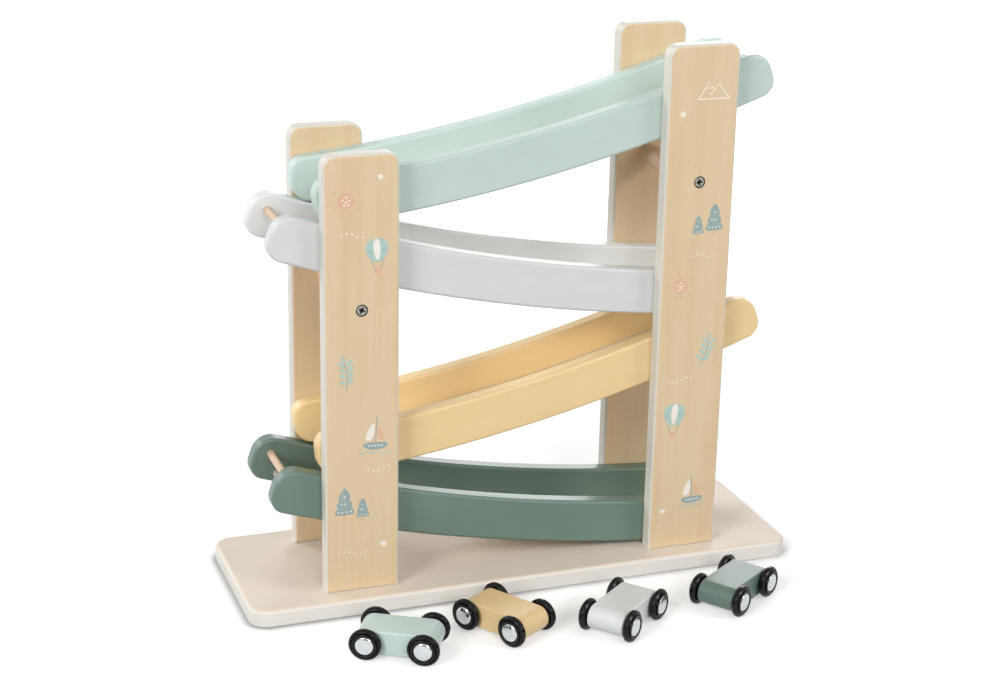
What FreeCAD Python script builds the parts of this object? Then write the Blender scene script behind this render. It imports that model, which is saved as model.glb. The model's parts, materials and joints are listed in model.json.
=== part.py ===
import FreeCAD, Part
import math
import os
import re
import Sketcher

# Wooden toy race track: a plywood tower that carries four curved tracks one above the other,
# each falling the other way from the last, and four wooden cars that stand in front of it.
# The origin is the middle of the base's underside. X runs along the base, Y from front to back
# and Z upwards. All sizes are in millimetres and degrees.

Vector = FreeCAD.Vector
Rotation = FreeCAD.Rotation
Placement = FreeCAD.Placement

DRIVING_SIZES = {
    # base plate, which stands out beyond the posts at the front and back
    "base_length": 380.0,
    "base_thickness": 11.4,
    "base_ledge": 13.45,
    "base_corner_radius": 12.0,
    "base_edge_round": 2.5,
    "base_foot_round": 1.0,
    # posts: four upright boards, the left pair lower than the right
    "tower_height": 358.9,
    "left_post_step": 56.7,
    "post_width": 48.8,
    "post_thickness": 11.5,
    "post_inset": 76.6,
    "post_corner_radius": 8.0,
    "board_edge_round": 2.0,
    # rails: eight curved boards, two to a track, that reach out beyond the posts
    "rail_radius": 1130.0,
    "rail_height": 30.0,
    "rail_thickness": 11.5,
    "rail_overhang": 88.2,
    "rail_full_round": 13.5,
    "rail_tight_round": 10.5,
    # tracks: the top one's place, the rise of the lowest one's low end over the base, how far
    # each lies towards its high end, how closely the rails' round ends let one track nest over
    # the next and how steep each track is against the slope that this leaves
    "top_track_depth": 66.3,
    "exit_rise": 13.47,
    "track_shift": 16.0,
    "nesting_share": 1.05,
    "rail_nesting": 2.85,
    "mint_slope_ratio": 1.037,
    "white_slope_ratio": 0.948,
    "yellow_slope_ratio": 1.045,
    "green_slope_ratio": 0.892,
    # floors: bent plywood strips held in grooves in the rails
    "channel_play": 4.4,
    "floor_lift": 5.0,
    "floor_thickness": 3.0,
    "groove_depth": 3.0,
    "groove_clearance": 0.1,
    "floor_high_inset": 17.0,
    "floor_low_inset": 40.0,
    "floor_exit_inset": 6.0,
    # stop dowels across the high end of each track
    "stop_diameter": 5.0,
    "stop_inset": 11.0,
    "stop_drop": 11.0,
    "stop_seat": 6.0,
    # hidden pegs that hold the rails to the posts
    "peg_diameter": 8.0,
    "peg_seat": 7.0,
    "dowel_clearance": 0.05,
    "glue_gap": 0.5,
    # round spacers between the front and back posts, each below the rails above it
    "spacer_diameter": 14.0,
    "left_spacer_drop": 31.6,
    "right_spacer_drop": 50.1,
    # countersunk screws
    "screw_diameter": 4.0,
    "screw_head_diameter": 8.0,
    "post_screw_length": 30.0,
    "base_screw_length": 35.0,
    "base_screw_pitch": 34.0,
    "screw_sink": 0.3,
    "screw_clearance": 0.05,
    # cars
    "wheelbase": 37.0,
    "car_width": 25.5,
    "car_height": 16.0,
    "car_edge_round": 1.0,
    "axle_diameter": 3.0,
    "axle_clearance": 0.05,
    "wheel_radius": 10.4,
    "wheel_width": 4.4,
    "wheel_play": 0.35,
    "wheel_boss_radius": 3.2,
    "wheel_boss_height": 0.5,
    "wheel_rim_chamfer": 1.2,
    "wheel_ring_radius": 7.9,
    "wheel_ring_height": 1.0,
    "cap_radius": 6.1,
    "cap_seat": 1.6,
    "cap_rim": 1.2,
    "cap_crown": 0.9,
    "cap_socket": 0.8,
    "cap_clearance": 0.03,
    # where each car stands, along the base and ahead of it, and how far its nose is turned
    "mint_car_along": -109.0,
    "mint_car_ahead": 54.55,
    "mint_car_angle": -29.8,
    "yellow_car_along": -37.0,
    "yellow_car_ahead": 45.95,
    "yellow_car_angle": -57.5,
    "white_car_along": 39.1,
    "white_car_ahead": 62.05,
    "white_car_angle": 39.1,
    "green_car_along": 122.7,
    "green_car_ahead": 51.05,
    "green_car_angle": 35.1,
}

# The tracks from the top down. The high end is on the right for 1 and on the left for -1.
TRACKS = {"mint": 1, "white": -1, "yellow": 1, "green": -1}

# Sizes that follow from the driving ones. The channel between the rails takes a car with some
# play, the posts stand outside the rails and the base outside the posts. Faces of the wheels
# and caps are counted from the middle of the car. The lowest track's middle rises over the
# base with its slope, so that its low end stays where the cars run out; the nested slope solves
# this together with the tracks' even pitch.
DERIVED_SIZES = {
    "hub_face": "car_width / 2 + wheel_play",
    "tyre_back": "hub_face + wheel_boss_height",
    "tyre_face": "tyre_back + wheel_width",
    "ring_face": "tyre_face + wheel_ring_height",
    "cap_back": "ring_face - cap_seat",
    "cap_crown_face": "cap_back + cap_rim + cap_crown",
    "axle_length": "2 * (cap_back + cap_socket)",
    "channel_width": "2 * (cap_crown_face + channel_play)",
    "post_gap": "channel_width + 2 * rail_thickness",
    "base_depth": "post_gap + 2 * post_thickness + 2 * base_ledge",
    "post_offset": "base_length / 2 - post_inset",
    "right_post_height": "tower_height - base_thickness",
    "left_post_height": "right_post_height - left_post_step",
    "rail_length": "2 * post_offset + rail_overhang",
    "floor_drop": "rail_height - floor_lift - floor_thickness",
    "half_arc": "rail_length / 2 / rail_radius * 180 / pi",
    "exit_height": "base_thickness + exit_rise - rail_radius * (1 - cos(half_arc))",
    "exit_reach": "green_slope_ratio * rail_radius * sin(half_arc)",
    "mint_height": "tower_height - top_track_depth",
    "nested_rise": "nesting_share * (mint_height - exit_height) / 3 - rail_height + rail_nesting",
    "nested_run": "rail_length - 2 * track_shift + nesting_share * exit_reach / 3",
    "nested_slope": "nested_rise / nested_run",
    "green_height": "exit_height + exit_reach * nested_slope",
    "track_pitch": "(mint_height - green_height) / 3",
    "white_height": "mint_height - track_pitch",
    "yellow_height": "green_height + track_pitch",
}


def line_height(track, x):
    """Height at x of the middle line of a track's rails, an arc."""
    return f"({track}_arc_z - sqrt(rail_radius ^ 2 - ({x} - {track}_arc_x) ^ 2))"


# Each track tilts up towards its high end. Its arc's centre lies square to it at its middle.
for track, high_side in TRACKS.items():
    DERIVED_SIZES |= {
        f"{track}_tilt": f"asin({track}_slope_ratio * nested_slope) / 1 deg",
        f"{track}_arc_x": f"{high_side} * (track_shift - rail_radius * sin({track}_tilt))",
        f"{track}_arc_z": f"{track}_height + rail_radius * cos({track}_tilt)",
    }
DERIVED_SIZES |= {
    "left_spacer_height": f"{line_height('white', '-post_offset')} - left_spacer_drop",
    "right_spacer_height": f"{line_height('mint', 'post_offset')} - right_spacer_drop",
}

doc = FreeCAD.newDocument("RaceTrack")
sizes = doc.addObject("Spreadsheet::Sheet", "Sizes")
cells = {alias: str(value) for alias, value in DRIVING_SIZES.items()}
cells |= {alias: f"={formula}" for alias, formula in DERIVED_SIZES.items()}
for row, (alias, content) in enumerate(cells.items(), start=1):
    sizes.set(f"A{row}", alias)
    sizes.set(f"B{row}", content)
    sizes.setAlias(f"B{row}", alias)
doc.recompute()

# The finished sub-parts by name, in the order in which the object is put together.
pieces = {}


# Building blocks

X_AXIS = Vector(1, 0, 0)
Y_AXIS = Vector(0, 1, 0)
Z_AXIS = Vector(0, 0, 1)
FLAT = 1e-6
SIDES = {"left": -1, "right": 1}
FACES = {"front": -1, "back": 1}


def bind(thing, path, formula):
    """Let a property follow a formula of sizes in the sheet."""
    words = re.compile(r"[a-z]\w*")
    linked = words.sub(lambda word: f"Sizes.{word[0]}" if word[0] in cells else word[0], formula)
    thing.setExpression(path, linked)


def put(thing, x, y, z, axis=None, turn="0"):
    """Place a thing at x, y, z, turned about the axis."""
    if axis is not None:
        thing.Placement = Placement(Vector(), Rotation(axis, 1))
        bind(thing, "Placement.Rotation.Angle", turn)
    bind(thing, "Placement.Base.x", x)
    bind(thing, "Placement.Base.y", y)
    bind(thing, "Placement.Base.z", z)
    return thing


def new_body(name):
    return doc.addObject("PartDesign::Body", name)


def origin_feature(body, role):
    return next(item for item in body.Origin.OriginFeatures if item.Role == role)


def new_sketch(body, plane, name):
    sketch = body.newObject("Sketcher::SketchObject", name)
    sketch.AttachmentSupport = (origin_feature(body, plane), [""])
    sketch.MapMode = "FlatFace"
    return sketch


def sized(sketch, name, formula, kind, start, end):
    """Let the distance between two points of a sketch follow a formula."""
    gap = sketch.getPoint(*end) - sketch.getPoint(*start)
    drawn = gap.x if kind == "DistanceX" else gap.y
    number = sketch.addConstraint(Sketcher.Constraint(kind, *start, *end, drawn))
    sketch.renameConstraint(number, name)
    bind(sketch, f"Constraints.{name}", formula)


def rectangle(body, plane, name, width, height, lift="0"):
    """Sketch a rectangle about the plane's origin, or about a point that far above it."""
    sketch = new_sketch(body, plane, name)
    corners = [Vector(-1, -1), Vector(1, -1), Vector(1, 1), Vector(-1, 1)]
    for start, end in zip(corners, corners[1:] + corners[:1]):
        sketch.addGeometry(Part.LineSegment(start, end))
    for side in range(4):
        sketch.addConstraint(Sketcher.Constraint("Coincident", side, 2, (side + 1) % 4, 1))
    for side in (0, 2):
        sketch.addConstraint(Sketcher.Constraint("Horizontal", side))
        sketch.addConstraint(Sketcher.Constraint("Vertical", side + 1))
    sketch.addConstraint(Sketcher.Constraint("Symmetric", 0, 1, 1, 2, -1, 1))
    sized(sketch, "width", width, "DistanceX", (0, 1), (0, 2))
    sized(sketch, "height", height, "DistanceY", (1, 1), (1, 2))
    bind(sketch, "AttachmentOffset.Base.y", lift)
    return sketch


def pad(body, sketch, name, length, both_ways=True):
    feature = body.newObject("PartDesign::Pad", name)
    feature.Profile = sketch
    feature.SideType = "Symmetric" if both_ways else "One side"
    bind(feature, "Length", length)
    return feature


def ease(body, feature, name, kind, size, chosen):
    """Fillet or chamfer the edges of a feature that the test picks out."""
    doc.recompute()
    edges = enumerate(feature.Shape.Edges, start=1)
    names = [f"Edge{number}" for number, edge in edges if chosen(edge)]
    eased = body.newObject(f"PartDesign::{kind}", name)
    eased.Base = (feature, names)
    bind(eased, "Radius" if kind == "Fillet" else "Size", size)
    return eased


def runs_along_y(edge):
    box = edge.BoundBox
    return box.YLength > FLAT and box.XLength < FLAT and box.ZLength < FLAT


def lies_across_y(edge):
    return edge.BoundBox.YLength < FLAT


def y_cylinder(name, diameter, length, x, z, y="0"):
    """Make a cylinder along Y, its middle at x, y, z."""
    rod = doc.addObject("Part::Cylinder", name)
    bind(rod, "Radius", f"({diameter}) / 2")
    bind(rod, "Height", length)
    return put(rod, x, f"{y} - ({length}) / 2", z, X_AXIS, "-90")


def group(name, members):
    together = doc.addObject("Part::Compound", name)
    together.Links = members
    return together


def fuse(name, members):
    whole = doc.addObject("Part::MultiFuse", name)
    whole.Shapes = members
    return whole


def cut(name, base, tool):
    result = doc.addObject("Part::Cut", name)
    result.Base = base
    result.Tool = tool
    return result


def keep(name, thing):
    """Name a finished sub-part."""
    thing.Label = name
    pieces[name] = thing


# Countersunk screws: each is drawn at the origin, its head at the bottom and its shank upwards,
# and copied to each place with the hole that takes it.

def screw(name, length, clearance="0"):
    head_radius = f"(screw_head_diameter / 2 + {clearance})"
    shank_radius = f"(screw_diameter / 2 + {clearance})"
    head_height = f"({head_radius} - {shank_radius})"
    head = doc.addObject("Part::Cone", f"{name}_head")
    bind(head, "Radius1", head_radius)
    bind(head, "Radius2", shank_radius)
    bind(head, "Height", head_height)
    shank = doc.addObject("Part::Cylinder", f"{name}_shank")
    bind(shank, "Radius", shank_radius)
    bind(shank, "Height", f"{length} + {clearance} - {head_height}")
    bind(shank, "Placement.Base.z", head_height)
    return fuse(name, [head, shank])


def screw_hole(name, length):
    """Make the screw's hole: a little larger, and open over its sunk head."""
    sleeve = screw(f"{name}_sleeve", length, "screw_clearance")
    mouth = doc.addObject("Part::Cylinder", f"{name}_mouth")
    bind(mouth, "Radius", "screw_head_diameter / 2 + screw_clearance")
    bind(mouth, "Height", "2 * screw_sink")
    bind(mouth, "Placement.Base.z", "-2 * screw_sink")
    return fuse(name, [sleeve, mouth])


def copies(name, form, places):
    """Copy a form to each place: formulas for x, y and z and for its turn about X."""
    placed = []
    for number, (x, y, z, turn) in enumerate(places, start=1):
        copy = group(f"{name}_{number}", [form])
        placed.append(put(copy, x, y, z, X_AXIS, turn))
    return group(name, placed)


post_screw_places = []
base_screw_places = []
for side, along in SIDES.items():
    for face, across in FACES.items():
        outer_face = f"{across} * (post_gap / 2 + post_thickness - screw_sink)"
        place = (f"{along} * post_offset", outer_face, f"{side}_spacer_height", f"{across} * 90")
        post_screw_places.append(place)
        post_middle = f"{across} * (post_gap + post_thickness) / 2"
        for step in (-1, 1):
            x = f"{along} * post_offset + {step} * base_screw_pitch / 2"
            base_screw_places.append((x, post_middle, "screw_sink", "0"))

post_screw_hole = screw_hole("post_screw_hole", "post_screw_length")
base_screw_hole = screw_hole("base_screw_hole", "base_screw_length")
post_screw_holes = copies("post_screw_holes", post_screw_hole, post_screw_places)
base_screw_holes = copies("base_screw_holes", base_screw_hole, base_screw_places)


# Base plate: a plywood board with rounded corners and soft edges, bored for eight screws that
# come up through it into the posts.

base_body = new_body("base_body")
base_outline = rectangle(base_body, "XY_Plane", "base_outline", "base_length", "base_depth")
base_board = pad(base_body, base_outline, "base_board", "base_thickness", both_ways=False)
base_corners = ease(base_body, base_board, "base_corners", "Fillet", "base_corner_radius",
                    lambda edge: edge.BoundBox.ZLength > FLAT)
base_top = ease(base_body, base_corners, "base_top", "Fillet", "base_edge_round",
                lambda edge: edge.BoundBox.ZLength < FLAT < edge.BoundBox.ZMin)
ease(base_body, base_top, "base_foot", "Fillet", "base_foot_round",
     lambda edge: abs(edge.BoundBox.ZMax) < FLAT)
keep("base_plate", cut("base_plate", base_body, base_screw_holes))


# Pegs: a wooden peg holds each rail to each post that it crosses, on the rail's middle line.
# Its bore is a little wider, and longer by a gap for glue at each end.

peg_holes = {}
for track in TRACKS:
    pegs = []
    holes = []
    for side, along in SIDES.items():
        x = f"({along} * post_offset)"
        z = line_height(track, x)
        for face, across in FACES.items():
            name = f"{track}_{side}_{face}"
            joint = f"{across} * post_gap / 2"
            pegs.append(y_cylinder(f"{name}_peg", "peg_diameter", "2 * peg_seat", x, z, joint))
            holes.append(y_cylinder(f"{name}_bore", "peg_diameter + 2 * dowel_clearance",
                                    "2 * (peg_seat + glue_gap)", x, z, joint))
    keep(f"{track}_rail_pegs", group(f"{track}_rail_pegs", pegs))
    peg_holes[track] = group(f"{track}_peg_holes", holes)


# Posts: upright plywood boards with rounded tops, bored for the rails' pegs, for the screw
# that holds the spacer and for the two screws that come up through the base.

for side, along in SIDES.items():
    height = f"{side}_post_height"
    for face, across in FACES.items():
        name = f"post_{face}_{side}"
        body = new_body(f"{name}_body")
        outline = rectangle(body, "XZ_Plane", f"{name}_outline", "post_width", height, f"{height} / 2")
        board = pad(body, outline, f"{name}_board", "post_thickness")
        top = ease(body, board, f"{name}_top", "Fillet", "post_corner_radius",
                   lambda edge: runs_along_y(edge) and edge.BoundBox.ZMin > FLAT)
        ease(body, top, f"{name}_edges", "Fillet", "board_edge_round", lies_across_y)
        middle = f"{across} * (post_gap + post_thickness) / 2"
        put(body, f"{along} * post_offset", middle, "base_thickness")
        bores = group(f"{name}_bores", [*peg_holes.values(), post_screw_holes, base_screw_holes])
        keep(name, cut(name, body, bores))


# Tracks: two curved rails with a bent floor in their grooves and a stop dowel across the high
# end. A floor ends short of the low end, so that a car drops through to the next track, and
# only the lowest floor runs on to the way out.

def arc_angle(length):
    """Angle, in degrees, of an arc of that length along the rails' middle line."""
    return f"(({length}) / rail_radius * 180 / pi)"


def arc_bar(name, track, width, height, drop, length, ahead="0"):
    """Revolve a bar of the given width and height about the track's centre.

    The bar's top lies a drop below the rails' top, and its middle a length ahead of the
    rails' middle, towards the high end.
    """
    body = new_body(name)
    depth = f"(rail_radius - rail_height / 2 + {drop} + ({height}) / 2)"
    section = rectangle(body, "YZ_Plane", f"{name}_section", width, height, f"-{depth}")
    bar = body.newObject("PartDesign::Revolution", f"{name}_bar")
    bar.Profile = section
    bar.ReferenceAxis = (origin_feature(body, "Y_Axis"), [""])
    bar.Midplane = True
    bind(bar, "Angle", arc_angle(length))
    lifts_high_end = Vector(0, -TRACKS[track], 0)
    turn = f"{track}_tilt + {arc_angle(ahead)}"
    put(body, f"{track}_arc_x", "0", f"{track}_arc_z", lifts_high_end, turn)
    return body, bar


def rail_corners(track, full):
    """Pick a rail's end edges: the fully rounded or the tighter ones, in its body's own frame.

    The upper corner at the high end and the lower one at the low end are fully rounded.
    """
    def chosen(edge):
        x, z = edge.CenterOfMass.x, edge.CenterOfMass.z
        at_high_end = x * TRACKS[track] > 0
        upper = math.hypot(x, z) < sizes.get("rail_radius")
        return runs_along_y(edge) and (at_high_end == upper) == full
    return chosen


for track, high_side in TRACKS.items():
    low_inset = "floor_exit_inset" if track == "green" else "floor_low_inset"
    floor_length = f"(rail_length - floor_high_inset - {low_inset})"
    ahead = f"({low_inset} - floor_high_inset) / 2"
    groove_span = "channel_width + 2 * groove_depth"
    groove, _ = arc_bar(f"{track}_groove", track, groove_span, "floor_thickness + 2 * groove_clearance",
                        "(floor_drop - groove_clearance)", f"{floor_length} + 2 * groove_clearance", ahead)
    floor, _ = arc_bar(f"{track}_floor_body", track, f"{groove_span} - 2 * groove_clearance",
                       "floor_thickness", "floor_drop", floor_length, ahead)
    keep(f"{track}_floor", floor)

    angle = f"({track}_tilt + {arc_angle('rail_length / 2 - stop_inset')})"
    reach = "(rail_radius - rail_height / 2 + stop_drop)"
    x = f"{track}_arc_x + {high_side} * {reach} * sin({angle})"
    z = f"{track}_arc_z - {reach} * cos({angle})"
    stop_length = "channel_width + 2 * stop_seat"
    stop = y_cylinder(f"{track}_stop_dowel", "stop_diameter", stop_length, x, z)
    stop_hole = y_cylinder(f"{track}_stop_hole", "stop_diameter + 2 * dowel_clearance",
                           f"{stop_length} + 2 * dowel_clearance", x, z)
    keep(f"{track}_stop_dowel", stop)

    tools = [groove, peg_holes[track], stop_hole]
    if track == "green":
        # The lowest rails are planed flat where they stand on the base.
        seat = doc.addObject("Part::Box", "base_seat")
        bind(seat, "Length", "base_length")
        bind(seat, "Width", "base_depth")
        bind(seat, "Height", "base_thickness")
        tools.append(put(seat, "-base_length / 2", "-base_depth / 2", "0"))
    track_cuts = group(f"{track}_cuts", tools)

    for face, across in FACES.items():
        name = f"{track}_{face}_rail"
        body, bar = arc_bar(f"{name}_body", track, "rail_thickness", "rail_height", "0", "rail_length")
        full = ease(body, bar, f"{name}_full_ends", "Fillet", "rail_full_round", rail_corners(track, True))
        ends = ease(body, full, f"{name}_tight_ends", "Fillet", "rail_tight_round",
                    rail_corners(track, False))
        ease(body, ends, f"{name}_edges", "Fillet", "board_edge_round", lies_across_y)
        bind(body, "Placement.Base.y", f"{across} * (post_gap - rail_thickness) / 2")
        keep(name, cut(name, body, track_cuts))


# Spacers: a round wooden bar between each front post and the one behind it, held by a screw
# at each end.

for side, along in SIDES.items():
    bar = y_cylinder(f"{side}_spacer_bar", "spacer_diameter", "post_gap",
                     f"{along} * post_offset", f"{side}_spacer_height")
    keep(f"{side}_spacer", cut(f"{side}_spacer", bar, post_screw_holes))

keep("post_screws", copies("post_screws", screw("post_screw", "post_screw_length"), post_screw_places))
keep("base_screws", copies("base_screws", screw("base_screw", "base_screw_length"), base_screw_places))


# Wheels and caps: turned forms that stand above and below the car's block, so that a car runs
# on either side. A raised ring surrounds the recess that takes the domed cap, and a boss keeps
# the wheel off the block. Each form is drawn once, for the near side, and mirrored.

def turned(body, kind, name, radius, start, end):
    """Add or cut a cylinder between two faces counted from the car's middle."""
    feature = body.newObject(f"PartDesign::{kind}Cylinder", name)
    feature.AttachmentSupport = (origin_feature(body, "XZ_Plane"), [""])
    feature.MapMode = "FlatFace"
    bind(feature, "Radius", radius)
    bind(feature, "Height", f"{end} - {start}")
    bind(feature, "AttachmentOffset.Base.z", start)
    return feature


def pair(name, form):
    """Join a form with its mirror image on the other side of the car."""
    other = doc.addObject("Part::Mirroring", f"{name}_far_side")
    other.Source = form
    other.Base = Vector()
    other.Normal = Y_AXIS
    return group(f"{name}_pair", [form, other])


wheel_form = new_body("wheel_form")
turned(wheel_form, "Additive", "wheel_tyre", "wheel_radius", "tyre_back", "tyre_face")
turned(wheel_form, "Additive", "wheel_ring", "wheel_ring_radius", "tyre_face", "ring_face")
turned(wheel_form, "Additive", "wheel_boss", "wheel_boss_radius", "hub_face", "tyre_back")
turned(wheel_form, "Subtractive", "wheel_recess", "cap_radius + cap_clearance", "cap_back", "ring_face")
wheel_bore = turned(wheel_form, "Subtractive", "wheel_bore", "axle_diameter / 2 + cap_clearance",
                    "hub_face", "cap_back")
tread_diameter = 2 * sizes.get("wheel_radius")
ease(wheel_form, wheel_bore, "wheel_rims", "Chamfer", "wheel_rim_chamfer",
     lambda edge: lies_across_y(edge) and abs(edge.BoundBox.XLength - tread_diameter) < FLAT)
wheel_pair = pair("wheel", wheel_form)


def cap_section(body):
    """Sketch half of a cap, beside its axis: a flat back, a short rim and a shallow crown."""
    sketch = new_sketch(body, "YZ_Plane", "cap_section")
    radius = sizes.get("cap_radius")
    rim_depth = sizes.get("cap_rim")
    depth = rim_depth + sizes.get("cap_crown")
    sphere = (radius ** 2 + (depth - rim_depth) ** 2) / (2 * (depth - rim_depth))
    half_way = depth - sphere + (sphere ** 2 - (radius / 2) ** 2) ** 0.5
    centre = Vector()
    back_edge = Vector(0, radius)
    rim_edge = Vector(-rim_depth, radius)
    top = Vector(-depth, 0)
    back, rim, axis, crown = range(4)
    sketch.addGeometry(Part.LineSegment(centre, back_edge))
    sketch.addGeometry(Part.LineSegment(back_edge, rim_edge))
    sketch.addGeometry(Part.LineSegment(top, centre))
    sketch.addGeometry(Part.ArcOfCircle(rim_edge, Vector(-half_way, radius / 2), top))
    rim_end, top_end = (1, 2) if (sketch.getPoint(crown, 1) - rim_edge).Length < FLAT else (2, 1)
    sketch.addConstraint(Sketcher.Constraint("Coincident", back, 2, rim, 1))
    sketch.addConstraint(Sketcher.Constraint("Coincident", rim, 2, crown, rim_end))
    sketch.addConstraint(Sketcher.Constraint("Coincident", crown, top_end, axis, 1))
    sketch.addConstraint(Sketcher.Constraint("Coincident", axis, 2, back, 1))
    sketch.addConstraint(Sketcher.Constraint("Coincident", back, 1, -1, 1))
    sketch.addConstraint(Sketcher.Constraint("Vertical", back))
    sketch.addConstraint(Sketcher.Constraint("Horizontal", rim))
    sketch.addConstraint(Sketcher.Constraint("Horizontal", axis))
    sketch.addConstraint(Sketcher.Constraint("PointOnObject", crown, 3, -1))
    sized(sketch, "radius", "cap_radius", "DistanceY", (back, 1), (back, 2))
    sized(sketch, "rim", "cap_rim", "DistanceX", (rim, 2), (rim, 1))
    sized(sketch, "depth", "cap_rim + cap_crown", "DistanceX", (axis, 1), (axis, 2))
    bind(sketch, "AttachmentOffset.Base.x", "-cap_back")
    return sketch


cap_form = new_body("cap_form")
cap_dome = cap_form.newObject("PartDesign::Revolution", "cap_dome")
cap_dome.Profile = cap_section(cap_form)
cap_dome.ReferenceAxis = (origin_feature(cap_form, "Y_Axis"), [""])
turned(cap_form, "Subtractive", "cap_bore", "axle_diameter / 2 + cap_clearance",
       "cap_back", "(cap_back + cap_socket + cap_clearance)")
cap_pair = pair("cap", cap_form)


# Cars: a solid block with round ends about its two axles, which turn with their wheels and caps

def car_block(name):
    """Pad the side view of a car's block: two straight edges joined by round ends."""
    body = new_body(f"{name}_block")
    sketch = new_sketch(body, "XZ_Plane", f"{name}_side")
    reach = sizes.get("wheelbase") / 2
    radius = sizes.get("car_height") / 2
    lift = sizes.get("wheel_radius")
    nose_centre = Vector(reach, lift)
    tail_centre = Vector(-reach, lift)
    up = Vector(0, radius)
    out = Vector(radius, 0)
    top, nose, bottom, tail = range(4)
    sketch.addGeometry(Part.LineSegment(tail_centre + up, nose_centre + up))
    sketch.addGeometry(Part.ArcOfCircle(nose_centre - up, nose_centre + out, nose_centre + up))
    sketch.addGeometry(Part.LineSegment(nose_centre - up, tail_centre - up))
    sketch.addGeometry(Part.ArcOfCircle(tail_centre + up, tail_centre - out, tail_centre - up))
    sketch.addConstraint(Sketcher.Constraint("Tangent", top, 2, nose, 2))
    sketch.addConstraint(Sketcher.Constraint("Tangent", nose, 1, bottom, 1))
    sketch.addConstraint(Sketcher.Constraint("Tangent", bottom, 2, tail, 2))
    sketch.addConstraint(Sketcher.Constraint("Tangent", tail, 1, top, 1))
    sketch.addConstraint(Sketcher.Constraint("Horizontal", top))
    sketch.addConstraint(Sketcher.Constraint("Symmetric", nose, 3, tail, 3, -2))
    sized(sketch, "axle_height", "wheel_radius", "DistanceY", (-1, 1), (nose, 3))
    sized(sketch, "axle_spacing", "wheelbase", "DistanceX", (tail, 3), (nose, 3))
    sized(sketch, "depth", "car_height", "DistanceY", (bottom, 1), (top, 2))
    block = pad(body, sketch, f"{name}_pad", "car_width")
    ease(body, block, f"{name}_edges", "Fillet", "car_edge_round", lies_across_y)
    return body


for track in TRACKS:
    car = f"{track}_car"
    turn = f"{car}_angle"
    car_x = f"{car}_along"
    car_y = f"(-base_depth / 2 - {car}_ahead)"
    bores = []
    for end, forwards in {"front": 1, "rear": -1}.items():
        reach = f"{forwards} * wheelbase / 2"
        bores.append(y_cylinder(f"{car}_{end}_bore", "axle_diameter + 2 * axle_clearance",
                                "2 * car_width", reach, "wheel_radius"))
        axle = y_cylinder(f"{car}_{end}_axle_bar", "axle_diameter", "axle_length", "0", "0")
        for kind, form in {"axle": axle, "wheels": wheel_pair, "caps": cap_pair}.items():
            name = f"{car}_{end}_{kind}"
            x = f"{car_x} + {reach} * cos({turn})"
            y = f"{car_y} + {reach} * sin({turn})"
            keep(name, put(group(name, [form]), x, y, "wheel_radius", Z_AXIS, turn))
    drilled = cut(f"{car}_body", car_block(car), group(f"{car}_bores", bores))
    keep(f"{car}_body", put(drilled, car_x, car_y, "0", Z_AXIS, turn))


# Check every object before writing anything, then write each sub-part.

doc.recompute()
for item in doc.Objects:
    faults = {"Invalid", "Error"} & set(item.State)
    if faults:
        raise RuntimeError(f"{item.Name}: {sorted(faults)}")
for name, piece in pieces.items():
    if piece.Shape.isNull() or not piece.Shape.isValid():
        raise RuntimeError(f"{name}: bad shape")
    if not piece.Shape.Solids:
        raise RuntimeError(f"{name}: no solid")

os.makedirs("parts", exist_ok=True)
for name, piece in pieces.items():
    piece.Shape.exportStep(f"parts/{name}.step")
print(len(pieces), "sub-parts,", sum(len(piece.Shape.Solids) for piece in pieces.values()), "solids")
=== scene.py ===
import json
import math

import bpy
from mathutils import Matrix, Vector


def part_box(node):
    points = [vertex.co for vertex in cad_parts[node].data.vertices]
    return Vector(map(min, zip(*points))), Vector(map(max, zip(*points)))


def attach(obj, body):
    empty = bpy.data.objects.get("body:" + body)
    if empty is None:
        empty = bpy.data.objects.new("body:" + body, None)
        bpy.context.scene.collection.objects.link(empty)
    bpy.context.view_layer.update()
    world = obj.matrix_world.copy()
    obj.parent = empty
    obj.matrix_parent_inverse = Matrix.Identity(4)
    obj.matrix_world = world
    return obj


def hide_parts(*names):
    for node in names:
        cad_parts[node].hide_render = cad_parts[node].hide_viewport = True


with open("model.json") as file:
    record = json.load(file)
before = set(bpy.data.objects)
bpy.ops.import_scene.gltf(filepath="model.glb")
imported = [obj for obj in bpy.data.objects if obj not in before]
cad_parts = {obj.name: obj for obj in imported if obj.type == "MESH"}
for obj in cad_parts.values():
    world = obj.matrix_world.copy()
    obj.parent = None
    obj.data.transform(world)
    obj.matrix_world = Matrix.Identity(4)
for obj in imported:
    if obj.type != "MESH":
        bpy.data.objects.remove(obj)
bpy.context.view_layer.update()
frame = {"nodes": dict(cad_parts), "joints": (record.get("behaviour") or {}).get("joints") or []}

MM = 0.001


# Camera
# The camera stands 20 degrees to the left of the toy's front and looks down on it by 19
# degrees. Its place, its turn in radians and its lens were fitted to the boards' edges.

CAMERA_PLACE = (-444.5 * MM, -1205.8 * MM, 598.3 * MM)
CAMERA_YAW = 0.3498
CAMERA_PITCH = 0.3339
CAMERA_ROLL = 0.0204
CAMERA_LENS = 73.36
CAMERA_SENSOR_WIDTH = 36.0


def as_object(name, data):
    """Put a mesh, a lamp or a camera into the scene under that name."""
    thing = bpy.data.objects.new(name, data)
    bpy.context.scene.collection.objects.link(thing)
    return thing


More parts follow.
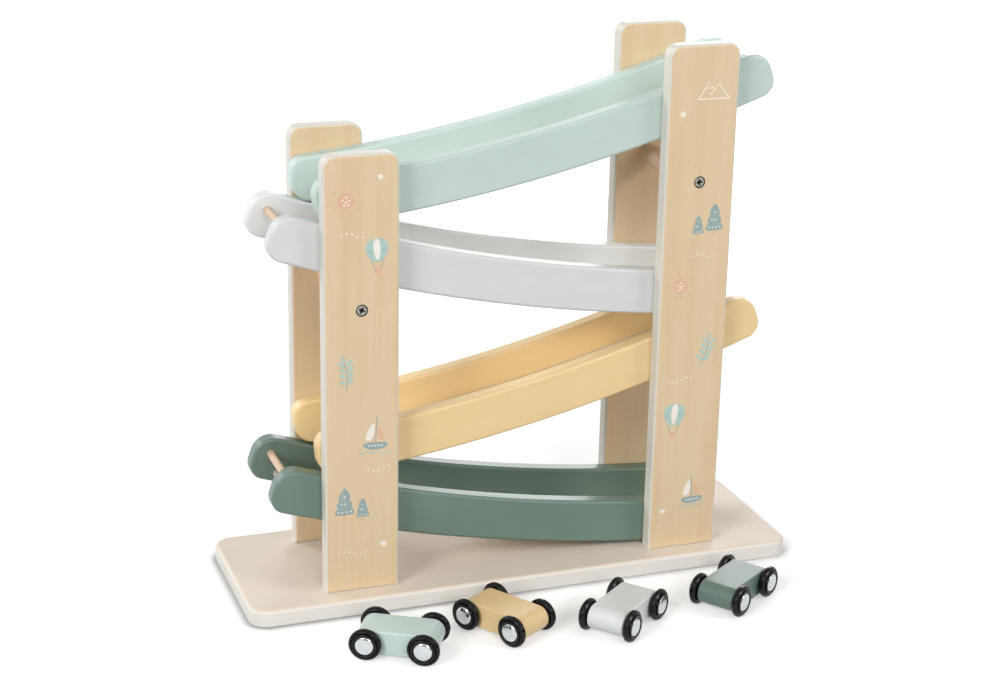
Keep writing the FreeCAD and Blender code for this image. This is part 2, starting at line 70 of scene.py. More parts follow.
camera_data = bpy.data.cameras.new("camera")
camera_data.sensor_width = CAMERA_SENSOR_WIDTH
camera_data.lens = CAMERA_LENS
camera = as_object("camera", camera_data)
aim = Vector((math.sin(CAMERA_YAW) * math.cos(CAMERA_PITCH),
              math.cos(CAMERA_YAW) * math.cos(CAMERA_PITCH),
              -math.sin(CAMERA_PITCH)))
level_right = Vector((math.cos(CAMERA_YAW), -math.sin(CAMERA_YAW), 0))
level_up = level_right.cross(aim)
right = math.cos(CAMERA_ROLL) * level_right + math.sin(CAMERA_ROLL) * level_up
up = math.cos(CAMERA_ROLL) * level_up - math.sin(CAMERA_ROLL) * level_right
turn = Matrix((right, up, -aim)).transposed().to_4x4()
camera.matrix_world = Matrix.Translation(CAMERA_PLACE) @ turn
bpy.context.scene.camera = camera


# Floor and light
# A plain white floor takes the toy's soft shadow, and beside the base plate a shadow is painted
# into its paint. Five wide soft lamps stand round the toy, 20 to 27 degrees high, and the two
# behind it draw light along the upper edges.

FLOOR_RADIUS = 14.0
FLOOR_SIDES = 64
FLOOR_PAINT = "#F1F1F1"
FLOOR_BOUNCE = 0.5
GLOW_NEAR = 0.38
GLOW_NEAR_START = 1 * MM
GLOW_NEAR_END = 8 * MM
GLOW_FAR = 0.90
GLOW_FAR_START = 0.4
GLOW_FAR_END = 3.0
PAINTED_SHADOW_DARKEST = 0.60
PAINTED_SHADOW_REACH = 5 * MM
PLATE_CORNER = 12 * MM
ROOM_LIGHT = 0.18
# The walls in glossy surfaces, each the sine of a height above the horizon and the shade there.
WALL_SHADES = ((0.005, 1.0), (0.02, 0.05), (0.10, 0.05), (0.16, 0.9))
# A direction whose y is above the first is behind the toy, and one below the second in front.
WALL_BEHIND = 0.5
WALL_IN_FRONT = 0.2
LAMP_WIDTH = 3.0
LAMP_DEPTH = 2.5
LAMP_DISTANCE = 8.0
LAMP_AIM = Vector((0, 0, 150 * MM))
# Each lamp's name, its direction and height in degrees, and its power in watts.
LAMPS = (
    ("lamp_in_front", 0, 27, 170),
    ("lamp_left", -55, 27, 338),
    ("lamp_right", 50, 27, 193),
    ("lamp_behind_left", -140, 27, 276),
    ("lamp_behind_right", 152, 20, 112),
)


def linear(hex_colour):
    """Turn an sRGB hex colour into linear red, green, blue and alpha."""
    parts = [int(hex_colour[start:start + 2], 16) / 255 for start in (1, 3, 5)]
    parts = [part / 12.92 if part <= 0.04045 else ((part + 0.055) / 1.055) ** 2.4
             for part in parts]
    return (*parts, 1.0)


def add(tree, kind, sockets=None, **settings):
    """Add a node. Each socket takes a plain value or a link from another node's output, and goes
    by its name, or by its number where several share a name."""
    new = tree.nodes.new(kind)
    for name, value in settings.items():
        setattr(new, name, value)
    for socket, value in (sockets or {}).items():
        if isinstance(value, bpy.types.NodeSocket):
            tree.links.new(value, new.inputs[socket])
        else:
            new.inputs[socket].default_value = value
    return new


floor_paint = bpy.data.materials.new("matt_white_floor_paint")
floor_paint.use_nodes = True
tree = floor_paint.node_tree
paint = tree.nodes["Principled BSDF"]
paint.inputs["Roughness"].default_value = 0.9
paint.inputs["Specular IOR Level"].default_value = 0.1
ray = add(tree, "ShaderNodeLightPath")

# How far each point of the floor lies from the outline of the base plate, with its round corners.
plate_low, plate_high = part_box("base_plate")
place = add(tree, "ShaderNodeTexCoord").outputs["Object"]
beyond = add(tree, "ShaderNodeVectorMath", {0: place}, operation="ABSOLUTE")
beyond = add(tree, "ShaderNodeVectorMath", {
    0: beyond.outputs[0],
    1: (plate_high.x - PLATE_CORNER, plate_high.y - PLATE_CORNER, 0)}, operation="SUBTRACT")
beyond = add(tree, "ShaderNodeVectorMath", {0: beyond.outputs[0], 1: (0, 0, 0)},
             operation="MAXIMUM")
beyond = add(tree, "ShaderNodeVectorMath", {0: beyond.outputs[0]}, operation="LENGTH")
distance = add(tree, "ShaderNodeMath", {0: beyond.outputs["Value"], 1: PLATE_CORNER},
               operation="SUBTRACT").outputs[0]

# Seen directly or in a glossy surface the floor shines a little of itself, so that it reads as
# white paper, and more so beyond the lamps' reach. Where it meets the base plate it doesn't, which
# keeps the narrow shadow that the plate casts.
seen = add(tree, "ShaderNodeMath", {
    0: ray.outputs["Is Camera Ray"], 1: ray.outputs["Is Glossy Ray"]}, operation="ADD")
seen = add(tree, "ShaderNodeMath", {0: seen.outputs[0], 1: ray.outputs["Is Transmission Ray"]},
           operation="ADD", use_clamp=True)
near = add(tree, "ShaderNodeMapRange", {
    "Value": distance, "From Min": GLOW_NEAR_START, "From Max": GLOW_NEAR_END,
    "To Max": GLOW_NEAR})
far = add(tree, "ShaderNodeMapRange", {
    "Value": distance, "From Min": GLOW_FAR_START, "From Max": GLOW_FAR_END,
    "To Max": GLOW_FAR - GLOW_NEAR})
level = add(tree, "ShaderNodeMath", {0: near.outputs[0], 1: far.outputs[0]}, operation="ADD")
shine = add(tree, "ShaderNodeMath", {0: seen.outputs[0], 1: level.outputs[0]},
            operation="MULTIPLY")
glow = add(tree, "ShaderNodeEmission", {"Strength": shine.outputs[0]})

# A contact shadow is painted into the floor's paint right beside the plate, darkest at its left end
# and none at its right one. The floor gives only half of its light back to the toy, so that what
# looks down stays in shade.
along = add(tree, "ShaderNodeSeparateXYZ", {0: place}).outputs["X"]
painted_shadow_darkest = add(tree, "ShaderNodeMapRange", {
    "Value": along, "From Min": plate_low.x / 2, "From Max": plate_high.x,
    "To Min": PAINTED_SHADOW_DARKEST})
painted_shadow = add(tree, "ShaderNodeMapRange", {
    "Value": distance, "From Max": PAINTED_SHADOW_REACH, "To Min": painted_shadow_darkest.outputs[0]})
bounce = add(tree, "ShaderNodeMapRange", {
    "Value": ray.outputs["Is Diffuse Ray"], "To Min": 1.0, "To Max": FLOOR_BOUNCE})
shade = add(tree, "ShaderNodeMath", {0: painted_shadow.outputs[0], 1: bounce.outputs[0]},
            operation="MULTIPLY")
shaded = add(tree, "ShaderNodeMix", {
    "Factor": 1.0, "A": linear(FLOOR_PAINT), "B": shade.outputs[0]},
    data_type="RGBA", blend_type="MULTIPLY")
tree.links.new(shaded.outputs["Result"], paint.inputs["Base Color"])
both = add(tree, "ShaderNodeAddShader", {0: paint.outputs[0], 1: glow.outputs[0]})
tree.links.new(both.outputs[0], tree.nodes["Material Output"].inputs["Surface"])

floor_mesh = bpy.data.meshes.new("floor")
corners = [(FLOOR_RADIUS * math.cos(step * math.tau / FLOOR_SIDES),
            FLOOR_RADIUS * math.sin(step * math.tau / FLOOR_SIDES), 0)
           for step in range(FLOOR_SIDES)]
floor_mesh.from_pydata(corners, [], [list(range(FLOOR_SIDES))])
floor_mesh.materials.append(floor_paint)
floor = as_object("floor", floor_mesh)

# The room is white as the camera sees it, and gives a plain even light. In glossy surfaces it
# is white behind the toy. In front its lower walls are dark, as a room's are beyond the lamps.
world = bpy.data.worlds.new("white_room")
bpy.context.scene.world = world
world.use_nodes = True
tree = world.node_tree
background = tree.nodes["Background"]
background.inputs["Color"].default_value = linear("#FFFFFF")
ray = add(tree, "ShaderNodeLightPath")
direction = add(tree, "ShaderNodeTexCoord").outputs["Generated"]
direction = add(tree, "ShaderNodeSeparateXYZ", {0: direction})
walls = add(tree, "ShaderNodeValToRGB", {"Fac": direction.outputs["Z"]})
stops = walls.color_ramp.elements
while len(stops) < len(WALL_SHADES):
    stops.new(stops[-1].position)
for stop, (height, value) in zip(stops, WALL_SHADES):
    stop.position = height
    stop.color = (value, value, value, 1)
in_front = add(tree, "ShaderNodeMapRange", {
    "Value": direction.outputs["Y"], "From Min": WALL_BEHIND, "From Max": WALL_IN_FRONT})
room = add(tree, "ShaderNodeMix", {
    "Factor": in_front.outputs[0], "A": 1.0, "B": walls.outputs["Color"]})
light = add(tree, "ShaderNodeMix", {
    "Factor": ray.outputs["Is Glossy Ray"], "A": ROOM_LIGHT, "B": room.outputs["Result"]})
strength = add(tree, "ShaderNodeMix", {
    "Factor": ray.outputs["Is Camera Ray"], "A": light.outputs["Result"], "B": 1.0})
tree.links.new(strength.outputs["Result"], background.inputs["Strength"])

for name, azimuth, height, power in LAMPS:
    azimuth, height = math.radians(azimuth), math.radians(height)
    lamp_data = bpy.data.lights.new(name, "AREA")
    lamp_data.shape = "RECTANGLE"
    lamp_data.size = LAMP_WIDTH
    lamp_data.size_y = LAMP_DEPTH
    lamp_data.energy = power
    lamp = as_object(name, lamp_data)
    towards = Vector((math.sin(azimuth) * math.cos(height),
                      -math.cos(azimuth) * math.cos(height),
                      math.sin(height)))
    lamp.location = LAMP_AIM + LAMP_DISTANCE * towards
    lamp.rotation_euler = (-towards).to_track_quat("-Z", "Y").to_euler()
    lamp.visible_camera = False


# Base plate
# A board of pale birch plywood, sanded and lacquered matt. The grain of its face runs along
# the toy, and its rounded edges are a little paler, with the plies as faint lines.

BIRCH_LIGHT = "#E9DDCF"
BIRCH_DARK = "#E5D8C8"
BIRCH_FIGURE = "#DFCEB9"
BIRCH_EDGE = "#EAE6DF"
BIRCH_EDGE_PLY = "#E6E2DA"
BIRCH_PLY_THICKNESS = 1.27
END_GRAIN = (1.6, 1.6, 1.6)


def new_material(name):
    """Start a material. Returns it with its tree, its shader and its object coordinates."""
    material = bpy.data.materials.new(name)
    material.use_nodes = True
    tree = material.node_tree
    spot = add(tree, "ShaderNodeTexCoord")
    return material, tree, tree.nodes["Principled BSDF"], spot


def grained(tree, spot, under, over, grain, low, high, most=1.0, detail=3.0, turn=(0, 0, 0)):
    """Lay one colour over another where a noise is high. Returns the colour and the noise.

    A colour is a hex colour or a link. The noise's grains are that many millimetres long along
    x, y and z, and the upper colour sets in at low and is at its most at high.
    """
    place = add(tree, "ShaderNodeMapping", {"Vector": spot.outputs["Object"], "Rotation": turn})
    place = add(tree, "ShaderNodeVectorMath", {
        0: place.outputs[0], 1: [1 / (size * MM) for size in grain]}, operation="MULTIPLY")
    noise = add(tree, "ShaderNodeTexNoise", {
        "Vector": place.outputs[0], "Scale": 1.0, "Detail": detail,
        "Roughness": 0.6}).outputs["Fac"]
    share = add(tree, "ShaderNodeMapRange", {
        "Value": noise, "From Min": low, "From Max": high, "To Max": most})
    under, over = [linear(colour) if isinstance(colour, str) else colour
                   for colour in (under, over)]
    mixed = add(tree, "ShaderNodeMix", {"Factor": share.outputs[0], "A": under, "B": over},
                data_type="RGBA")
    return mixed.outputs["Result"], noise


def surface(tree, shader, colour, relief, smoothest, dullest, depth):
    """Colour a surface, vary its roughness with a relief and let the relief, that many
    millimetres deep, bend the light."""
    tree.links.new(colour, shader.inputs["Base Color"])
    dullness = add(tree, "ShaderNodeMapRange", {
        "Value": relief, "From Min": 0.3, "From Max": 0.7,
        "To Min": smoothest, "To Max": dullest})
    tree.links.new(dullness.outputs[0], shader.inputs["Roughness"])
    bump = add(tree, "ShaderNodeBump", {
        "Height": relief, "Distance": depth * MM, "Strength": 0.5})
    tree.links.new(bump.outputs[0], shader.inputs["Normal"])


def board(tree, spot, axis, thickness, face, edge, edge_ply, rim):
    """Colour of plywood: its face where it looks along the axis, and plies of that thickness, in
    turn one with end and one with side grain, at its edges. The rim gives the two shares of the
    normal along the axis between which the edge's colour turns into the face's."""
    across = add(tree, "ShaderNodeSeparateXYZ", {0: spot.outputs["Object"]}).outputs[axis]
    level = add(tree, "ShaderNodeMath", {0: across, 1: 1 / (thickness * MM)},
                operation="MULTIPLY")
    layer = add(tree, "ShaderNodeMath", {0: level.outputs[0], 1: 1.0}, operation="PINGPONG")
    share = add(tree, "ShaderNodeMapRange", {
        "Value": layer.outputs[0], "From Min": 0.35, "From Max": 0.65})
    plies = add(tree, "ShaderNodeMix", {
        "Factor": share.outputs[0], "A": linear(edge), "B": linear(edge_ply)},
        data_type="RGBA").outputs["Result"]
    plies, _ = grained(tree, spot, plies, edge, END_GRAIN, 0.40, 0.70, most=0.7)
    normal = add(tree, "ShaderNodeSeparateXYZ", {0: spot.outputs["Normal"]}).outputs[axis]
    level = add(tree, "ShaderNodeMath", {0: normal}, operation="ABSOLUTE")
    flat = add(tree, "ShaderNodeMapRange", {
        "Value": level.outputs[0], "From Min": rim[0], "From Max": rim[1]})
    wood = add(tree, "ShaderNodeMix", {"Factor": flat.outputs[0], "A": plies, "B": face},
               data_type="RGBA")
    return wood.outputs["Result"]


def dress(material, *names):
    """Give CAD nodes a material."""
    for name in names:
        for holder in frame["nodes"][name].material_slots:
            holder.material = material


# Birch plywood, sanded and lacquered: a quiet, almost even pale face with long faint fibres
# and broad cloudy figure, and a low sheen.
birch, tree, shader, spot = new_material("lacquered_birch_plywood")
face, fibres = grained(tree, spot, BIRCH_LIGHT, BIRCH_DARK, (55, 1.3, 1.3), 0.30, 0.70, detail=5)
face, _ = grained(tree, spot, face, BIRCH_FIGURE, (75, 5, 5), 0.52, 0.74, most=0.4, detail=4)
face, _ = grained(tree, spot, face, BIRCH_LIGHT, (120, 22, 22), 0.35, 0.65, most=0.5)
wood = board(tree, spot, "Z", BIRCH_PLY_THICKNESS, face, BIRCH_EDGE, BIRCH_EDGE_PLY,
             rim=(0.4, 0.8))
surface(tree, shader, wood, fibres, smoothest=0.44, dullest=0.56, depth=0.03)
shader.inputs["Specular IOR Level"].default_value = 0.35
dress(birch, "base_plate")


# Base screws
# Eight zinc-plated wood screws with countersunk cross heads come up through the base into the
# posts. They are driven until their heads lie just below the base's underside.

# Sizes in millimetres. The painted shade sets in and is at its darkest at these radii from the
# screw's axis and at these heights, below its head's face.
HEAD_RADIUS = 4.0
HEAD_SIDES = 48
SHANK_RADIUS = 2.0
SHANK_SIDES = 24
CROSS_LENGTH = 4.6
CROSS_WIDTH = 0.95
CROSS_DEPTH = 1.7
DIMPLE_RADIUS = 1.5 * CROSS_WIDTH
DIMPLE_FOOT_RADIUS = 0.2 * CROSS_WIDTH
DIMPLE_SIDES = 24
SHADE_RIM_START = 0.72 * HEAD_RADIUS
SHADE_RIM_END = 0.86 * HEAD_RADIUS
SHADE_CROSS_START = -0.1
SHADE_CROSS_END = -0.6
BASE_SCREW_LENGTH = 35.0
BASE_SCREW_SPACING = 34.0
SPIN_SEED = 7
ZINC_PALE = "#B5B3AE"
ZINC_GREY = "#6E6C68"
ZINC_PAINTED_SHADE = "#37322C"


def input_socket(tree, name, kind, value=None):
    """Add a named input to a tree and return its identifier."""
    socket = tree.interface.new_socket(name=name, in_out="INPUT", socket_type=kind)
    if value is not None:
        socket.default_value = value
    return socket.identifier


def evaluated(name, carrier):
    """Turn what a carrier's modifier makes into a plain mesh, and remove the carrier."""
    graph = bpy.context.evaluated_depsgraph_get()
    mesh = bpy.data.meshes.new_from_object(carrier.evaluated_get(graph), depsgraph=graph)
    mesh.name = name
    bpy.data.objects.remove(carrier)
    return as_object(name, mesh)


# Zinc plating: a cool grey metal with a soft spangle. Painted shade makes it almost black around
# the head's rim, where the head meets its countersink, and down in the cross. The spangle is drawn
# 0.9 mm wide.
zinc, tree, shader, spot = new_material("zinc_plated_steel")
plate, spangle = grained(tree, spot, ZINC_PALE, ZINC_GREY, (0.9, 0.9, 0.9), 0.38, 0.62, detail=2)
on_screw = add(tree, "ShaderNodeAttribute", attribute_name="on_screw").outputs["Vector"]
from_axis = add(tree, "ShaderNodeVectorMath", {0: on_screw, 1: (1, 1, 0)}, operation="MULTIPLY")
from_axis = add(tree, "ShaderNodeVectorMath", {0: from_axis.outputs[0]}, operation="LENGTH")
# The head's rim and the cross are darkened with painted shade.
rim = add(tree, "ShaderNodeMapRange", {
    "Value": from_axis.outputs["Value"], "From Min": SHADE_RIM_START * MM,
    "From Max": SHADE_RIM_END * MM})
depth = add(tree, "ShaderNodeSeparateXYZ", {0: on_screw}).outputs["Z"]
pit = add(tree, "ShaderNodeMapRange", {
    "Value": depth, "From Min": SHADE_CROSS_START * MM, "From Max": SHADE_CROSS_END * MM})
shade_and_wear = add(tree, "ShaderNodeMath", {0: rim.outputs[0], 1: pit.outputs[0]}, operation="MAXIMUM")
plate = add(tree, "ShaderNodeMix", {
    "Factor": shade_and_wear.outputs[0], "A": plate, "B": linear(ZINC_PAINTED_SHADE)},
    data_type="RGBA").outputs["Result"]
surface(tree, shader, plate, spangle, smoothest=0.26, dullest=0.42, depth=0.03)
shader.inputs["Metallic"].default_value = 1.0

# The tree makes one screw with its head's face at the origin and its shank straight down. It sets
# one at each point of the carrier, its head towards the point's outward direction and its cross
# turned at random.
screw_tree = bpy.data.node_groups.new("cross_head_screws", "GeometryNodeTree")
input_socket(screw_tree, "Places", "NodeSocketGeometry")
screw_inputs = {
    name: input_socket(screw_tree, name, "NodeSocketFloat", size * MM) for name, size in (
        ("Head radius", HEAD_RADIUS), ("Shank radius", SHANK_RADIUS),
        ("Length", BASE_SCREW_LENGTH), ("Cross length", CROSS_LENGTH),
        ("Cross width", CROSS_WIDTH), ("Cross depth", CROSS_DEPTH),
        ("Dimple radius", DIMPLE_RADIUS), ("Dimple foot radius", DIMPLE_FOOT_RADIUS))}
screw_tree.interface.new_socket(name="Screws", in_out="OUTPUT", socket_type="NodeSocketGeometry")
given = add(screw_tree, "NodeGroupInput").outputs

# The head is a cone as deep as it widens, so that it fits a countersink of 90 degrees.
head_height = add(screw_tree, "ShaderNodeMath", {
    0: given["Head radius"], 1: given["Shank radius"]}, operation="SUBTRACT").outputs[0]
head = add(screw_tree, "GeometryNodeMeshCone", {
    "Vertices": HEAD_SIDES, "Radius Top": given["Head radius"],
    "Radius Bottom": given["Shank radius"], "Depth": head_height})
drop = add(screw_tree, "ShaderNodeMath", {0: head_height, 1: -1.0}, operation="MULTIPLY")
drop = add(screw_tree, "ShaderNodeCombineXYZ", {"Z": drop.outputs[0]})
head = add(screw_tree, "GeometryNodeTransform", {
    "Geometry": head.outputs["Mesh"], "Translation": drop.outputs[0]})

# The cross is cut with two crossed bars and a dimple in the middle, for the driver's point.
cutters = []
bar_size = add(screw_tree, "ShaderNodeCombineXYZ", {
    "X": given["Cross length"], "Y": given["Cross width"], "Z": given["Cross depth"]})
bar = add(screw_tree, "GeometryNodeMeshCube", {"Size": bar_size.outputs[0]})
for angle in (0, math.pi / 2):
    cutters.append(add(screw_tree, "GeometryNodeTransform", {
        "Geometry": bar.outputs["Mesh"], "Rotation": (0, 0, angle)}))
dimple = add(screw_tree, "GeometryNodeMeshCone", {
    "Vertices": DIMPLE_SIDES, "Radius Top": given["Dimple radius"],
    "Radius Bottom": given["Dimple foot radius"], "Depth": given["Cross depth"]})
sunk = add(screw_tree, "ShaderNodeMath", {0: given["Cross depth"], 1: -1.0},
           operation="MULTIPLY")
sunk = add(screw_tree, "ShaderNodeCombineXYZ", {"Z": sunk.outputs[0]})
cutters.append(add(screw_tree, "GeometryNodeTransform", {
    "Geometry": dimple.outputs["Mesh"], "Translation": sunk.outputs[0]}))
recessed = add(screw_tree, "GeometryNodeMeshBoolean", operation="DIFFERENCE", solver="EXACT")
screw_tree.links.new(head.outputs[0], recessed.inputs["Mesh 1"])
for cutter in cutters:
    screw_tree.links.new(cutter.outputs[0], recessed.inputs["Mesh 2"])

# The shank is what is left of the length below the head.
shank_length = add(screw_tree, "ShaderNodeMath", {0: given["Length"], 1: head_height},
                   operation="SUBTRACT")
shank = add(screw_tree, "GeometryNodeMeshCylinder", {
    "Vertices": SHANK_SIDES, "Radius": given["Shank radius"],
    "Depth": shank_length.outputs[0]})
middle = add(screw_tree, "ShaderNodeMath", {0: given["Length"], 1: head_height}, operation="ADD")
middle = add(screw_tree, "ShaderNodeMath", {0: middle.outputs[0], 1: -0.5}, operation="MULTIPLY")
middle = add(screw_tree, "ShaderNodeCombineXYZ", {"Z": middle.outputs[0]})
shank = add(screw_tree, "GeometryNodeTransform", {
    "Geometry": shank.outputs["Mesh"], "Translation": middle.outputs[0]})
screw = add(screw_tree, "GeometryNodeJoinGeometry")
for part in (shank.outputs[0], recessed.outputs["Mesh"]):
    screw_tree.links.new(part, screw.inputs[0])
position = add(screw_tree, "GeometryNodeInputPosition")
screw = add(screw_tree, "GeometryNodeStoreNamedAttribute", {
    "Geometry": screw.outputs[0], "Name": "on_screw", "Value": position.outputs[0]},
    data_type="FLOAT_VECTOR")

outward = add(screw_tree, "GeometryNodeInputNamedAttribute", {"Name": "outward"},
              data_type="FLOAT_VECTOR")
facing = add(screw_tree, "FunctionNodeAlignRotationToVector", {"Vector": outward.outputs[0]},
             axis="Z")
placed = add(screw_tree, "GeometryNodeInstanceOnPoints", {
    "Points": given["Places"], "Instance": screw.outputs[0], "Rotation": facing.outputs[0]})
chance = add(screw_tree, "FunctionNodeRandomValue", {"Seed": SPIN_SEED}, data_type="FLOAT")
spin = add(screw_tree, "ShaderNodeMath", {0: chance.outputs[1], 1: math.pi / 2},
           operation="MULTIPLY")
spin = add(screw_tree, "ShaderNodeCombineXYZ", {"Z": spin.outputs[0]})
placed = add(screw_tree, "GeometryNodeRotateInstances", {
    "Instances": placed.outputs[0], "Rotation": spin.outputs[0]})
real = add(screw_tree, "GeometryNodeRealizeInstances", {0: placed.outputs[0]})
plated = add(screw_tree, "GeometryNodeSetMaterial", {"Geometry": real.outputs[0], "Material": zinc})
add(screw_tree, "NodeGroupOutput", {0: plated.outputs[0]})


def screws(name, places, length):
    """Drive a screw of that length at each place, a point with the way that its head faces."""
    points = bpy.data.meshes.new(name)
    points.from_pydata([place for place, _ in places], [], [])
    facing = points.attributes.new("outward", "FLOAT_VECTOR", "POINT")
    for number, (_, direction) in enumerate(places):
        facing.data[number].vector = direction
    carrier = as_object(name + "_places", points)
    modifier = carrier.modifiers.new("screws", "NODES")
    modifier.node_group = screw_tree
    modifier[screw_inputs["Length"]] = length * MM
    piece = evaluated(name, carrier)
    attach(piece, "tower")
    return piece


# Two screws go into each post, so there are four columns of them in two rows.
low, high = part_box("base_screws")
outer = HEAD_RADIUS * MM
inner = (HEAD_RADIUS + BASE_SCREW_SPACING) * MM
places = [((x, y, low.z), (0, 0, -1))
          for x in (low.x + outer, low.x + inner, high.x - inner, high.x - outer)
          for y in (low.y + outer, high.y - outer)]
base_screws = screws("base_screws_cross_head", places, BASE_SCREW_LENGTH)
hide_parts("base_screws")


# Posts
# Four upright boards of plywood with a beech face, cut with rounded tops, sanded and lacquered.
# Their grain runs upwards, and their sealed edges are a pale grey white.

BEECH_LIGHT = "#E1CAA6"
BEECH_DARK = "#DCC39E"
BEECH_STREAK = "#D4B58D"
BEECH_FLECK = "#CBA87E"
BEECH_EDGE = "#DDDAD0"
BEECH_EDGE_PLY = "#D5D0C3"
POST_PLY_THICKNESS = 1.28
POSTS = ("post_front_left", "post_front_right", "post_back_left", "post_back_right")

# Beech veneer: warm and even, with fine upright fibres, broad soft bands and the short darker
# flecks that mark beech. Real flecks are 0.3 mm wide; these are 0.6 mm, so that they show.
beech, tree, shader, spot = new_material("lacquered_beech_faced_plywood")
face, fibres = grained(tree, spot, BEECH_LIGHT, BEECH_DARK, (1.4, 1.4, 60), 0.25, 0.75, detail=5)
face, _ = grained(tree, spot, face, BEECH_STREAK, (11, 11, 190), 0.45, 0.75, most=0.55)
face, _ = grained(tree, spot, face, BEECH_LIGHT, (19, 19, 75), 0.48, 0.72, most=0.5)
face, _ = grained(tree, spot, face, BEECH_FLECK, (0.6, 0.6, 5.5), 0.64, 0.76, most=0.35, detail=1)
wood = board(tree, spot, "Y", POST_PLY_THICKNESS, face, BEECH_EDGE, BEECH_EDGE_PLY,
             rim=(0.78, 0.97))
surface(tree, shader, wood, fibres, smoothest=0.38, dullest=0.48, depth=0.025)
dress(beech, *POSTS)


# Rails and floors
# Each track is two curved boards cut from plywood, sanded and sprayed in a satin colour, with a
# strip of thin bent birch plywood for a floor.

# Each track's paint, its tilt in degrees as it rises to the right, and the two shades of the paint
# on its near rail and on its far one. The far rail's shades carry painted light: lighter than the
# near rail's on the mint, white and yellow tracks, where the far rails' inner faces lie in shade,
# and darker on the green one.
TRACKS = {
    "mint": ("satin_mint_paint", 12.7, ("#C2D2CC", "#BECFC8"), ("#CBDDD8", "#C7DAD3")),
    "white": ("satin_grey_white_paint", -11.6, ("#D7D8D8", "#D3D6D6"), ("#E6E8E8", "#E2E6E7")),
    "yellow": ("satin_yellow_paint", 12.8, ("#ECCF99", "#E8CA93"), ("#F5D9A3", "#F1D49D")),
    "green": ("satin_dark_green_paint", -10.9, ("#6D8278", "#697F74"), ("#677C71", "#64796F")),
}
STRIP_LIGHT = "#EBDFCD"
STRIP_DARK = "#E0D0B8"
STRIP_CLOUD = "#E6D7C0"


def sprayed(name, tilt, shades):
    """Satin paint on wood: an even coat with a soft shine, in which a trace of the grain shows."""
    material, tree, shader, spot = new_material(name)
    along = (0, math.radians(tilt), 0)
    coat, _ = grained(tree, spot, *shades, (40, 40, 14), 0.35, 0.65, turn=along)
    coat, grain = grained(tree, spot, coat, shades[1], (60, 1.6, 1.6), 0.55, 0.75, most=0.3,
                          turn=along)
    surface(tree, shader, coat, grain, smoothest=0.32, dullest=0.38, depth=0.012)
    return material


# Each paint also gets a copy with painted light and shade, for the far rail and the cars.
paints = {}
painted_light_paints = {}
for colour, (name, tilt, near_shades, painted_light_shades) in TRACKS.items():
    paints[colour] = sprayed(name, tilt, near_shades)
    painted_light_paints[colour] = sprayed(f"{name}_painted_light_copy", tilt, painted_light_shades)

# Bent birch plywood: the same pale wood in a thin strip, its fibres along the track.
strip, tree, shader, spot = new_material("bent_birch_plywood")
face, fibres = grained(tree, spot, STRIP_LIGHT, STRIP_DARK, (40, 1.2, 8), 0.30, 0.70, detail=5)
face, _ = grained(tree, spot, face, STRIP_CLOUD, (90, 14, 30), 0.35, 0.65, most=0.4)
surface(tree, shader, face, fibres, smoothest=0.45, dullest=0.60, depth=0.03)

# The far rails take the copy of the paint with painted light and shade.
for colour in TRACKS:
    dress(paints[colour], f"{colour}_front_rail")
    dress(painted_light_paints[colour], f"{colour}_back_rail")
    dress(strip, f"{colour}_floor")


# Dowels, spacers and pegs
# Turned beech rods, left bare. The stop dowels cross the high end of each track, the two thick
# spacers hold the posts apart and the pegs, hidden, hold the rails to the posts.

ROD_LIGHT = "#E6CDB4"
ROD_DARK = "#D8BA9C"
ROD_BAND = "#CFAE8E"

# Bare beech: a pale pinkish wood with fine fibres along the rod, dry and without a shine.
rod, tree, shader, spot = new_material("bare_turned_beech")
wood, fibres = grained(tree, spot, ROD_LIGHT, ROD_DARK, (0.8, 22, 0.8), 0.30, 0.70, detail=4)
wood, _ = grained(tree, spot, wood, ROD_BAND, (6, 40, 6), 0.50, 0.75, most=0.4)
surface(tree, shader, wood, fibres, smoothest=0.50, dullest=0.65, depth=0.03)
dress(rod, "left_spacer", "right_spacer")
for colour in TRACKS:
    dress(rod, f"{colour}_stop_dowel", f"{colour}_rail_pegs")


# Post screws
# Four zinc-plated screws like those of the base but shorter. One goes through each post into the
# end of its spacer, and its head lies just below the post's face.

POST_SCREW_LENGTH = 30.0

screw_low, screw_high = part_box("post_screws")
places = []
for side in ("left", "right"):
    low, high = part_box(f"{side}_spacer")
    centre = (low + high) / 2
    for y, facing in ((screw_low.y, -1), (screw_high.y, 1)):
        places.append(((centre.x, y, centre.z), (0, facing, 0)))
post_screws = screws("post_screws_cross_head", places, POST_SCREW_LENGTH)
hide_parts("post_screws")


# Printed pattern
# A few small pictures in flat pastel inks, screen printed on the near faces of the two near
# posts: suns, fir trees, balloons, sprigs, sailing boats, mountains and stars, with dots between.

INK_GREY = "#93A9AA"
INK_AQUA = "#AECBC5"
INK_WHITE = "#F3EEE4"
INK_BLUSH = "#E2B596"
# How proud the first ink stands, what each layer over it adds, and how far all reach into the
# wood, in millimetres.
INK_LIFT = 0.04
INK_STEP = 0.01
INK_ROOT = 0.02

# Screen ink: flat, matt and thin, so that a trace of the wood's grain shows through it.
ink, tree, shader, spot = new_material("matt_screen_printed_ink")
own = add(tree, "ShaderNodeAttribute", attribute_name="ink").outputs["Color"]
shade_and_wear, fibres = grained(tree, spot, own, BEECH_LIGHT, (1.2, 1.2, 14), 0.45, 0.80, most=0.35,
                       detail=4)
surface(tree, shader, shade_and_wear, fibres, smoothest=0.55, dullest=0.65, depth=0.01)
shader.inputs["Specular IOR Level"].default_value = 0.3


def softened(outline, rounds=3):
    """Cut the corners of a closed outline again and again, until it is a smooth curve."""
    for _ in range(rounds):
        pairs = list(zip(outline, outline[1:] + outline[:1]))
        outline = [(start[0] + share * (end[0] - start[0]), start[1] + share * (end[1] - start[1]))
                   for start, end in pairs for share in (0.25, 0.75)]
    return outline


